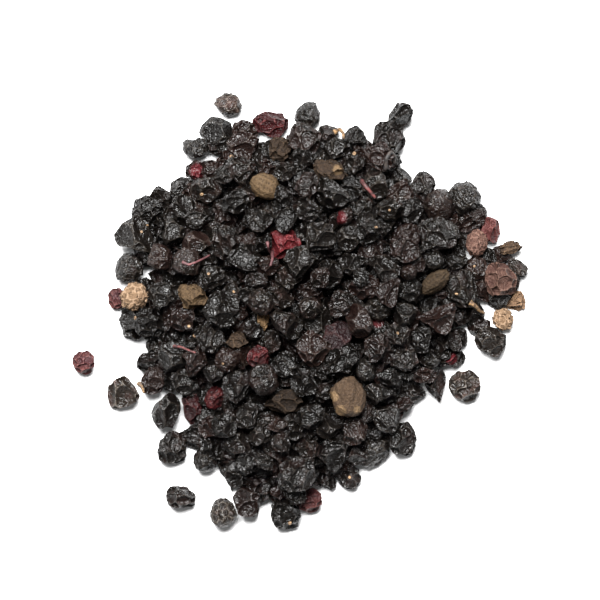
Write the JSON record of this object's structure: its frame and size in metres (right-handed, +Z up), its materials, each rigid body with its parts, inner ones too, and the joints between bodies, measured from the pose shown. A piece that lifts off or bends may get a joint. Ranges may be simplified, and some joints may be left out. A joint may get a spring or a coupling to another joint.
{
  "type": "dried elderberry cluster",
  "caption": "Loose heap of small dried, crumpled black elderberries with a few red, plum, tan and golden ones, lying flat on a surface.",
  "frame": {"origin": "on the surface that the heap lies on, under its middle, on the flat spot of the berry there", "axes": "+Z up from the surface, +Y towards the top of the picture, +X towards its right side"},
  "size_m": [0.0646, 0.0622, 0.0113],
  "materials": {
    "black_skin": "satin, wrinkled",
    "plum_skin": "satin, wrinkled",
    "red_skin": "satin, folded",
    "rust_skin": "matt, wrinkled",
    "tan_skin": "matt, rough and woolly",
    "golden_skin": "matt, ribbed",
    "brown_skin": "matt, fibrous"
  },
  "bodies": {
    "root": {"black_berry_heap": "black_skin", "black_berries_apart_1": "black_skin", "black_berries_apart_2": "black_skin", "black_berries_apart_3": "black_skin", "black_berries_apart_4": "black_skin", "black_berries_apart_5": "black_skin", "black_berries_apart_6": "black_skin", "berry_red_dusty": "red_skin", "berry_dark_red_edge": "plum_skin", "berry_dark_red_folded": "red_skin", "berry_red_brown_foot": "plum_skin", "berry_stray_top": "black_skin", "berry_stray_left": "plum_skin", "berry_stray_lower_left": "black_skin", "berry_loose_left": "black_skin", "berry_loose_smooth": "black_skin", "berry_loose_low_left": "black_skin", "berry_loose_foot": "black_skin", "berry_loose_right": "black_skin", "berry_loose_right_round": "black_skin", "berry_red_mauve": "plum_skin", "berry_tan_woolly_right": "tan_skin", "berry_tan_hollow": "brown_skin", "berry_loose_edge": "black_skin", "berry_tan_long": "brown_skin", "berry_red_brown_round": "rust_skin", "berry_tan_woolly_left": "tan_skin", "berry_brown_papery": "brown_skin", "berry_pink_tan": "rust_skin", "berry_red_bright": "red_skin", "berry_red_pebbly": "red_skin", "berry_plum": "plum_skin", "berry_red_tucked": "red_skin", "berry_golden": "golden_skin", "berry_golden_ribbed": "golden_skin", "berry_brown_rough": "brown_skin", "berry_tan_disc": "brown_skin", "berry_golden_long": "golden_skin", "berry_orange_bit": "golden_skin", "berry_brown_ridged": "brown_skin", "berry_brown_folded": "plum_skin"}
  },
  "joints": []
}
